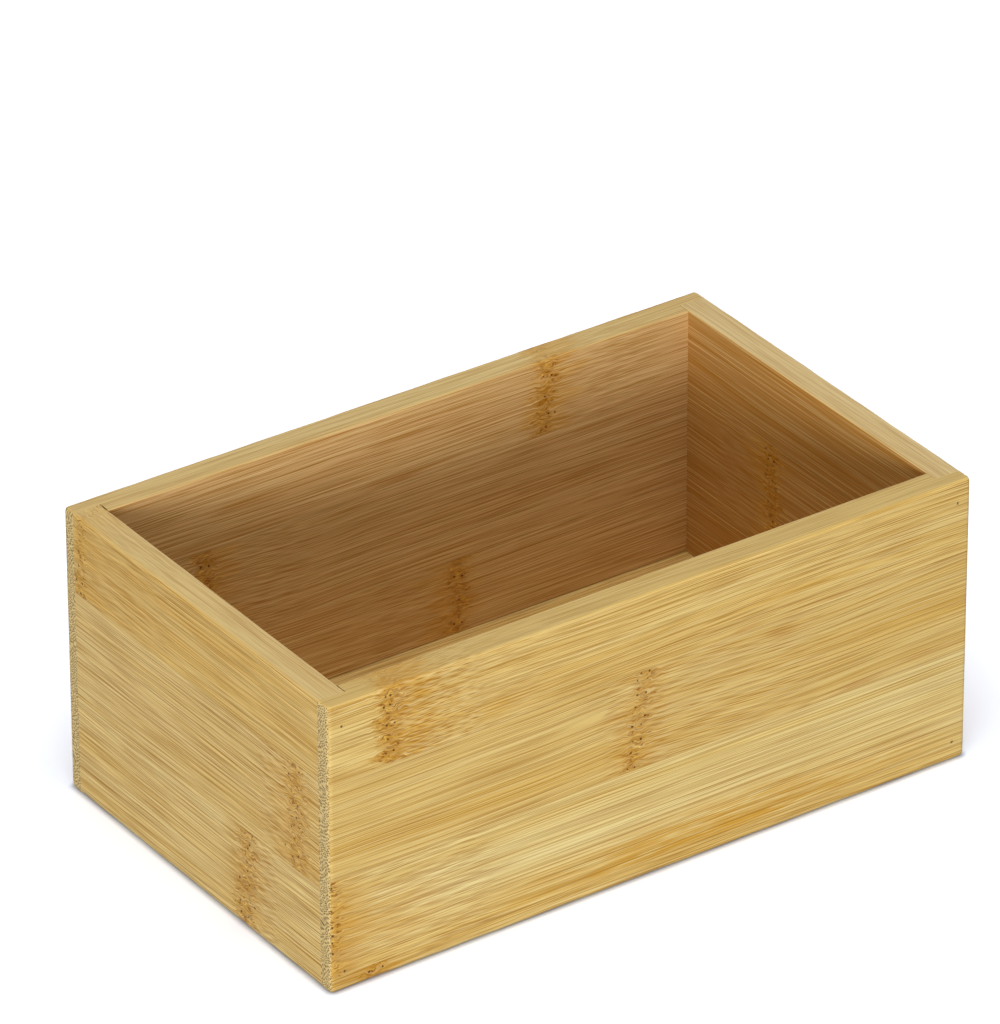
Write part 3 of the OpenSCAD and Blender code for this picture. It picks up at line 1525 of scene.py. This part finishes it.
@dataclass
class CornerPins:
    """The four headless pins of a long board.

    Attributes:
        wall: The board that they are driven into.
        finish: Their steel.
        slot: The record's material slot.
        radius: Radius of a pin.
        tip: Radius left at the point.
        point: Length of the tapered point.
        sides: Number of facets round a pin.
        stations: Number of sections along it.
    """

    wall: Wall
    finish: PinSteel = field(default_factory=PinSteel)
    slot: str = "pin_steel"
    radius: float = 0.35
    tip: float = 0.1
    point: float = 1.5
    sides: int = 20
    stations: int = 11

    def build(self) -> None:
        """Makes the pins."""
        node = f"{self.wall.word}_pins"
        low, high = (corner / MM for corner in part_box(node))
        side = self.wall.value[1]
        head = low.y if side < 0 else high.y
        length = high.y - low.y
        form = NodeForm(f"{node}_form", {
            "Radius": self.radius, "Tip radius": self.tip, "Shank": length - self.point, "Length": length,
            "Span": high.x - low.x - 2 * self.radius, "Rise": high.z - low.z - 2 * self.radius,
            "Middle": (0.0, head, (low.z + high.z) / 2)})
        end = form.triple(0.0, form.size("Length") * -side, 0.0)
        line = form.out("GeometryNodeCurvePrimitiveLine", {}, {"End": end})
        run = form.out("GeometryNodeResampleCurve", {}, {"Curve": line, "Count": self.stations})
        taper = form.out("ShaderNodeMapRange", {}, {
            "Value": form.node("GeometryNodeSplineParameter").outputs["Length"],
            "From Min": form.size("Shank"), "From Max": form.size("Length"),
            "To Min": form.size("Radius"), "To Max": form.size("Tip radius")})
        ring = form.out("GeometryNodeCurvePrimitiveCircle", {}, {"Resolution": self.sides, "Radius": 1.0})
        pin = form.out("GeometryNodeCurveToMesh", {}, {
            "Curve": run, "Profile Curve": ring, "Scale": taper, "Fill Caps": True})
        spots = form.out("GeometryNodeMeshGrid", {}, {
            "Size X": form.size("Span"), "Size Y": form.size("Rise"), "Vertices X": 2, "Vertices Y": 2})
        raised = form.out("GeometryNodeTransform", {}, {
            "Geometry": spots, "Translation": form.place("Middle"), "Rotation": (math.radians(90), 0.0, 0.0)})
        driven = form.out("GeometryNodeInstanceOnPoints", {}, {"Points": raised, "Instance": pin})
        steel = self.finish.material(f"steel_{node}")
        piece = form.piece(f"{self.wall.word}_board_pins", driven, steel)
        tidy_mesh(piece.data)
        hand_over(piece, node, self.slot)


@dataclass(frozen=True)
class PhotoCamera:
    """A long lens at the photograph's place.

    Attributes:
        aim: The point in the middle of the picture, in millimetres.
        azimuth: Direction of the view round the box, in degrees, 0 from the front.
        elevation: Height of the view above the horizon, in degrees.
        roll: Turn about the line of sight, in degrees.
        distance: Distance from the aim.
        lens: Focal length.
        sensor: Width of the sensor.
    """

    aim: Point = (4.173, 12.981, 57.337)
    azimuth: float = -34.703
    elevation: float = 30.290
    roll: float = -0.149
    distance: float = 2017.666
    lens: float = 329.394
    sensor: float = 36.0

    def build(self) -> None:
        """Sets the camera up."""
        back = heading(self.azimuth, self.elevation)
        data = bpy.data.cameras.new("photo_camera")
        data.lens = self.lens
        data.sensor_width = self.sensor
        camera = new_object("photo_camera", data)
        place = Matrix.Translation((Vector(self.aim) + back * self.distance) * MM)
        facing = (-back).to_track_quat("-Z", "Y").to_matrix().to_4x4()
        camera.matrix_world = place @ facing @ Matrix.Rotation(math.radians(self.roll), 4, "Z")
        bpy.context.scene.camera = camera


@dataclass(frozen=True)
class SoftBox:
    """A large, soft lamp that faces the box.

    Attributes:
        name: Its name.
        azimuth: Its direction round the box, in degrees, 0 in front.
        elevation: Its height above the horizon, in degrees.
        distance: Its distance, in metres.
        wide: Width of its face, in metres.
        high: Height of its face.
        power: Its power in watts.
    """

    name: str
    azimuth: float
    elevation: float
    distance: float
    wide: float
    high: float
    power: float

    def build(self) -> None:
        """Hangs the lamp."""
        away = heading(self.azimuth, self.elevation)
        data = bpy.data.lights.new(self.name, "AREA")
        data.shape = "RECTANGLE"
        data.size = self.wide
        data.size_y = self.high
        data.energy = self.power
        lamp = new_object(self.name, data)
        lamp.location = away * self.distance
        lamp.rotation_euler = away.to_track_quat("Z", "Y").to_euler()
        lamp.visible_camera = False


@dataclass
class Studio:
    """A pale floor, soft lamps and a white surround.

    Attributes:
        lamps: The soft lamps.
        sky: Strength of the surround as a light.
        floor_half: Half the floor's width, in metres.
        floor_tone: How much light the floor throws back on the box.
        floor_near: How much its near part throws back to the eye, so that all but the shadow is white.
        floor_far: How much its far part throws back to the eye, where less light falls.
        floor_outer: How much it throws back to the eye a metre away, where the lamps' light is weak.
        floor_contact: How much it throws back to the eye right beside the box, as a painted contact shadow.
        contact_reach: How far from the box that painted shadow goes, in metres.
        contact_whole: Where it is whole, as a share of the rounding along the underside.
        far_way: The way on which the floor's far part lies, as shares of x and y.
        far_span: Where that part begins and where it is whole, in metres.
        outer_span: How far from the middle the outer part begins, and is whole.
    """

    lamps: Sequence[SoftBox] = (
        SoftBox("front_lamp", -38.5, 8.0, 2.2, 2.0, 0.5, 35.4),
        SoftBox("top_lamp", -32.0, 78.0, 1.5, 1.2, 1.0, 9.8),
        SoftBox("back_lamp", 145.0, 8.0, 2.2, 2.0, 0.5, 13.0),
    )
    sky: float = 0.24
    floor_half: float = 2.5
    floor_tone: float = 0.4
    floor_near: Colour = (1.44, 1.54, 1.76, 1.0)
    floor_far: Colour = (1.86, 1.9, 2.04, 1.0)
    floor_outer: Colour = (3.2, 3.1, 3.0, 1.0)
    floor_contact: Colour = (0.8, 0.84, 0.94, 1.0)
    contact_reach: float = 0.0014
    contact_whole: float = 0.8
    far_way: tuple[float, float] = (0.57, 0.82)
    far_span: tuple[float, float] = (-0.08, 0.26)
    outer_span: tuple[float, float] = (0.3, 1.0)

    @staticmethod
    def seen(graph: Graph) -> Value:
        """1 for rays from the camera and in reflections, and else 0.

        Args:
            graph: The graph that asks.

        Returns:
            The mask.
        """
        path = graph.node("ShaderNodeLightPath")
        kinds = ("Is Camera Ray", "Is Glossy Ray", "Is Transmission Ray")
        return most([Value(graph, path.outputs[kind]) for kind in kinds])

    def surround(self) -> None:
        """Makes the world, white to the eye and dimmer as a light."""
        world = bpy.data.worlds.new("white_surround")
        world.use_nodes = True
        graph = Graph(world.node_tree)
        strength = self.sky + self.seen(graph) * (1 - self.sky)
        light = graph.out("ShaderNodeBackground", {}, {"Color": (1.0, 1.0, 1.0, 1.0), "Strength": strength})
        graph.node("ShaderNodeOutputWorld", {}, {"Surface": light})
        bpy.context.scene.world = world

    def floor(self) -> None:
        """Lays the floor, with a contact shadow painted beside the box."""
        half = self.floor_half
        mesh = bpy.data.meshes.new("studio_floor")
        spots = [(-half, -half, 0), (half, -half, 0), (half, half, 0), (-half, half, 0)]
        mesh.from_pydata(spots, [], [(0, 1, 2, 3)])
        grey = (self.floor_tone,) * 3 + (1.0,)
        material, graph = new_material("studio_floor", grey)
        x, y, _ = Triple(graph, graph.node("ShaderNodeTexCoord").outputs["Object"]).parts()
        away = (x * self.far_way[0] + y * self.far_way[1]).between(*self.far_span)
        tone = Tone.blended(graph, self.floor_near, self.floor_far, away)
        tone = tone.toward(self.floor_outer, graph.triple(x, y, 0.0).distance().between(*self.outer_span))
        # Painted contact shadow: to the eye, the floor darkens within a short reach of the box's footprint
        inset = WallStrip.base_edge_r * MM
        reach = CAD_BOUNDS[1]
        past = [(abs(place) - (end - inset)).larger(0.0) for place, end in ((x, reach.x), (y, reach.y))]
        gap = graph.triple(*past, 0.0).distance()
        beside = gap.between(inset + self.contact_reach, inset * self.contact_whole)
        tone = tone.toward(self.floor_contact, beside)
        lit, shown = (graph.out("ShaderNodeBsdfDiffuse", {}, {"Color": c}) for c in (grey, tone))
        matt = graph.out("ShaderNodeMixShader", {}, {0: self.seen(graph), 1: lit, 2: shown})
        graph.node("ShaderNodeOutputMaterial", {}, {"Surface": matt})
        mesh.materials.append(material)
        floor = new_object("studio_floor", mesh)

    def build(self) -> None:
        """Sets the studio up."""
        bpy.context.scene.view_settings.view_transform = "Standard"
        self.surround()
        self.floor()
        for lamp in self.lamps:
            lamp.build()


FRONT = BambooFinish(face=-50.5)
# The inner tones are painted shade of the box's inside, strongest on the right wall
BACK = BambooFinish(face=50.5, inner="#d0a48c", inner_share=0.45)
LEFT = BambooFinish(grain=Grain.SIDE_WALL, face=-83.0)
RIGHT = BambooFinish(grain=Grain.SIDE_WALL, face=83.0, line_strength=0.9, radial="#ecd4a4",
                     inner="#a8632a", inner_share=0.65)
FLOOR = BambooFinish(grain=Grain.FLOOR, face=8.5)

FRONT_FINISHES = (
    replace(
        FRONT, seed=1.7, gold_share=0.5, glued=(51.5,), line_strength=0.96,
        pale="#f3d689", golden="#eac36c", radial="#d5b66e",
        knuckles=(Knuckle(-67.6, 60.5, 0.0, 4.0, 9.0, 4.5, 1.0, (
            (-68.6, 67.9), (-67.4, 67.9), (-69.0, 65.6), (-67.5, 65.7), (-68.4, 61.0), (-66.4, 61.0),
            (-68.1, 57.5), (-68.6, 54.2), (-66.7, 54.4))),),
        loose=(LooseGrain(-56.0, 17.0, 3.4, 0.0, 0.9), LooseGrain(-38.0, 14.0, 6.0, 0.0, 0.35)),
        patches=(
            Patch(-55.0, 60.0, 13.0, 8.0, Stain.GOLD, 0.6),
            Patch(32.0, 58.0, 22.0, 1.6, Stain.GOLD, 0.7),
            Patch(22.0, 52.6, 9.0, 1.2, Stain.ORANGE, 0.7),
            Patch(46.0, 52.6, 14.0, 1.0, Stain.ORANGE, 0.6),
            Patch(61.0, 58.2, 9.0, 2.2, Stain.BROWN, 0.45),
            Patch(-8.0, 53.0, 30.0, 1.4, Stain.GOLD, 0.5),
            Patch(-40.0, 56.0, 8.0, 2.6, Stain.GOLD, 0.7),
        )),
    replace(
        FRONT, seed=5.3, gold_share=0.35, glued=(51.5, 27.6), line_strength=0.86, run=1.4,
        knuckles=(Knuckle(-4.2, 39.5, 0.16, 3.2, 8.0, 0.5, 0.65, (
            (-3.75, 51.0), (-1.6, 51.0), (-4.7, 49.5), (-2.0, 49.3), (-4.7, 46.0), (-2.5, 45.9),
            (-5.2, 43.2), (-2.7, 40.3), (-6.0, 38.6), (-3.7, 38.5), (-5.8, 34.9), (-3.7, 34.8),
            (-6.3, 32.2), (-7.2, 28.5), (-5.4, 28.4))),),
        loose=(LooseGrain(18.0, 34.0, 11.0, 0.05, 0.8), LooseGrain(-4.5, 13.0, 5.5, 0.0, 0.85)),
        patches=(
            Patch(-10.5, 42.0, 7.0, 2.0, Stain.ORANGE, 0.5),
            Patch(-15.0, 47.5, 8.0, 2.0, Stain.BROWN, 0.3),
            Patch(-4.5, 29.5, 9.0, 1.8, Stain.ORANGE, 0.5),
            Patch(33.0, 49.3, 6.0, 2.4, Stain.ORANGE, 0.6),
            Patch(52.0, 29.2, 13.0, 1.2, Stain.ORANGE, 0.8),
            Patch(73.0, 30.3, 16.0, 1.2, Stain.ORANGE, 0.55),
            Patch(-62.0, 50.2, 26.0, 1.6, Stain.PALE, 0.5),
        )),
    replace(
        FRONT, seed=9.1, gold_share=0.4, glued=(27.6, 3.7), line_strength=0.88, run=2.0,
        pale="#fae6a2", golden="#f3d583",
        knuckles=(Knuckle(-82.4, 16.0, 0.0, 3.0, 9.0, 1.0, 0.45, (
            (-82.6, 26.0), (-82.6, 20.3), (-82.5, 16.3), (-82.4, 14.3), (-82.6, 12.5), (-82.5, 9.9))),),
        loose=(LooseGrain(-62.0, 30.0, 8.0, 0.0, 0.7),),
        patches=(
            Patch(-70.0, 14.0, 22.0, 12.0, Stain.GOLD, 0.75),
            Patch(-80.0, 15.0, 11.0, 17.0, Stain.GOLD, 1.0),
            Patch(-79.0, 8.0, 7.0, 5.0, Stain.ORANGE, 0.45),
            Patch(20.0, 19.0, 55.0, 5.0, Stain.PALE, 0.3),
            Patch(15.0, 6.0, 100.0, 11.5, Stain.GOLD, 1.0),
        )),
    replace(
        FRONT, seed=13.4, gold_share=0.5, glued=(3.7,),
        knuckles=(Knuckle(-72.0, 1.8, 0.0, 3.0, 7.0, 1.0, 0.9, ((-73.4, 2.2), (-70.0, 2.3))),),
        loose=(LooseGrain(-64.0, 18.0, 6.5),)),
)

LEFT_FINISHES = (
    replace(
        LEFT, seed=2.9, gold_share=0.55, glued=(50.6,),
        pale="#f5d485", golden="#ebc067",
        knuckles=(Knuckle(44.6, 60.0, 0.0, 2.4, 8.0, -3.0, 0.35, (
            (44.9, 58.0), (43.7, 54.2), (45.8, 54.2), (44.3, 51.4))),),
        loose=(LooseGrain(26.0, 24.0, 6.5),)),
    replace(
        LEFT, seed=6.6, gold_share=0.45, glued=(50.6, 24.4), line_strength=1.08,
        pale="#f8dc96", golden="#efca79", knuckle_tan="#e2a632", knuckle_brown="#cc8d22",
        knuckles=(Knuckle(-38.4, 37.0, 0.06, 4.6, 11.0, 1.5, 0.55, (
            (-39.5, 49.1), (-35.5, 46.8), (-39.1, 44.6), (-38.7, 40.5), (-38.2, 37.4), (-36.3, 34.3),
            (-33.9, 28.5), (-38.7, 28.0))),),
        loose=(LooseGrain(-34.0, 13.0, 4.4, 0.0, 0.7),)),
    replace(
        LEFT, seed=11.2, gold_share=0.45, glued=(24.4,), line_strength=1.08,
        pale="#fae09a", golden="#f3cf7e", knuckle_tan="#e2a632", knuckle_brown="#cc8d22",
        knuckles=(Knuckle(-19.0, 13.0, -0.08, 4.8, 10.0, 0.5, 0.55, (
            (-21.2, 24.0), (-20.1, 21.2), (-19.3, 20.0), (-19.1, 14.3), (-16.1, 11.2), (-19.7, 11.0),
            (-19.9, 6.8), (-21.7, 6.4), (-16.1, 5.5), (-16.5, 2.9), (-19.2, 2.8))),),
        loose=(LooseGrain(-23.0, 12.0, 4.4, 0.0, 0.7),),
        patches=(Patch(-17.5, 10.0, 6.0, 2.6, Stain.ORANGE, 0.9),)),
)

BACK_FINISHES = (
    replace(BACK, seed=21.3, gold_share=0.5, glued=(51.5,),
            knuckles=(Knuckle(38.0, 60.5, 0.05, 3.5, 8.0, 2.0, 0.8, (
                (37.0, 66.1), (39.2, 65.8), (37.3, 60.9), (38.2, 56.4), (40.0, 56.2))),),
            loose=(LooseGrain(50.0, 18.0, 5.5),)),
    replace(BACK, seed=25.9, gold_share=0.4, glued=(51.5, 27.6),
            knuckles=(Knuckle(-52.0, 39.5, -0.08, 3.5, 8.0, 2.0, 0.8, (
                (-53.1, 48.0), (-51.0, 47.7), (-52.6, 43.1), (-50.9, 38.2), (-52.9, 38.0),
                (-51.6, 32.4), (-49.6, 32.1))),),
            loose=(LooseGrain(-38.0, 21.0, 6.5, 0.04),)),
    replace(BACK, seed=29.2, gold_share=0.5, glued=(27.6, 3.7),
            knuckles=(Knuckle(14.0, 16.0, 0.05, 3.5, 8.0, -2.0, 0.8, (
                (13.0, 23.2), (15.1, 22.9), (14.2, 17.0), (12.9, 11.2), (15.0, 11.0), (14.1, 6.4))),),
            loose=(LooseGrain(2.0, 21.0, 6.5),)),
    replace(BACK, seed=33.8, gold_share=0.5, glued=(3.7,)),
)

RIGHT_FINISHES = (
    replace(RIGHT, seed=41.3, gold_share=0.55, glued=(50.6,)),
    replace(RIGHT, seed=45.9, gold_share=0.45, glued=(50.6, 24.4),
            knuckles=(Knuckle(12.0, 37.0, 0.06, 3.6, 8.0, 2.0, 0.8, (
                (11.0, 47.1), (13.2, 46.8), (11.4, 41.9), (13.0, 36.0), (11.2, 31.7), (13.4, 27.1))),),
            loose=(LooseGrain(22.0, 15.0, 6.5),)),
    replace(RIGHT, seed=49.2, gold_share=0.5, glued=(24.4,),
            knuckles=(Knuckle(-30.0, 12.0, -0.06, 3.6, 8.0, -2.0, 0.8, (
                (-31.0, 20.1), (-28.9, 19.8), (-30.4, 13.2), (-28.7, 8.1), (-31.2, 4.4))),),
            loose=(LooseGrain(-40.0, 15.0, 6.5),)),
)

FLOOR_FINISHES = (
    replace(FLOOR, seed=61.3, gold_share=0.5, glued=(-22.9,)),
    replace(FLOOR, seed=65.9, gold_share=0.45, glued=(-22.9, 0.0),
            knuckles=(Knuckle(-25.0, -11.4, 0.08, 3.4, 8.0, 2.0, 0.8, (
                (-26.0, -4.0), (-24.0, -4.4), (-25.6, -10.2), (-24.2, -15.9), (-26.3, -16.2))),),
            loose=(LooseGrain(-12.0, 18.0, 6.5),)),
    replace(FLOOR, seed=69.2, gold_share=0.4, glued=(0.0, 22.9),
            knuckles=(Knuckle(48.0, 11.4, -0.05, 3.4, 8.0, 2.0, 0.8, (
                (47.0, 19.0), (49.2, 18.7), (48.1, 12.4), (46.9, 6.9), (48.8, 3.7))),),
            loose=(LooseGrain(58.0, 18.0, 6.5),)),
    replace(FLOOR, seed=73.8, gold_share=0.5, glued=(22.9,)),
)


def main() -> None:
    """Builds the box, its studio and its camera."""
    logging.basicConfig(level=logging.INFO, format="%(name)s: %(message)s")
    PhotoCamera().build()
    Studio().build()
    box = Box.measured()
    LOG.info("box: half sizes %s, board %.2f, lip %.2f", box.half, box.board, box.lip)
    WallBoard(Wall.FRONT, box, FRONT_FINISHES, "bamboo_long_boards").build()
    WallBoard(Wall.BACK, box, BACK_FINISHES, "bamboo_long_boards").build()
    WallBoard(Wall.LEFT, box, LEFT_FINISHES, "bamboo_side_boards").build()
    WallBoard(Wall.RIGHT, box, RIGHT_FINISHES, "bamboo_side_boards").build()
    FloorPanel(FLOOR_FINISHES).build()
    for wall in (Wall.FRONT, Wall.BACK):
        CornerPins(wall).build()


if __name__ == "__main__":
    main()
